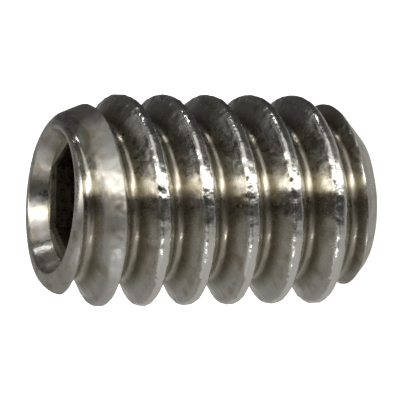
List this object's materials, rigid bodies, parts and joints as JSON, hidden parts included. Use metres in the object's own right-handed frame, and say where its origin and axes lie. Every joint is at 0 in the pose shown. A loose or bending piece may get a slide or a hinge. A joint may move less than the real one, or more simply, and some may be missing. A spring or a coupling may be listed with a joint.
{
  "type": "grub set screw",
  "caption": "Headless set screw with a coarse right-hand thread over its full length, a countersunk hex socket in one end and a chamfered flat point at the other.",
  "frame": {"origin": "centre of the flat point face, which is the lowest level of the screw as it stands on its point", "axes": "+Z is the thread axis, from the flat point up to the hex socket; +X and +Y are across the screw, and two opposite socket flats face +Y and -Y"},
  "size_m": [0.0048, 0.0048, 0.0073],
  "materials": {
    "stainless_steel": "thread-rolled stainless steel, passivated, slightly burred crests"
  },
  "bodies": {
    "root": {"set_screw": "stainless_steel"}
  },
  "joints": []
}
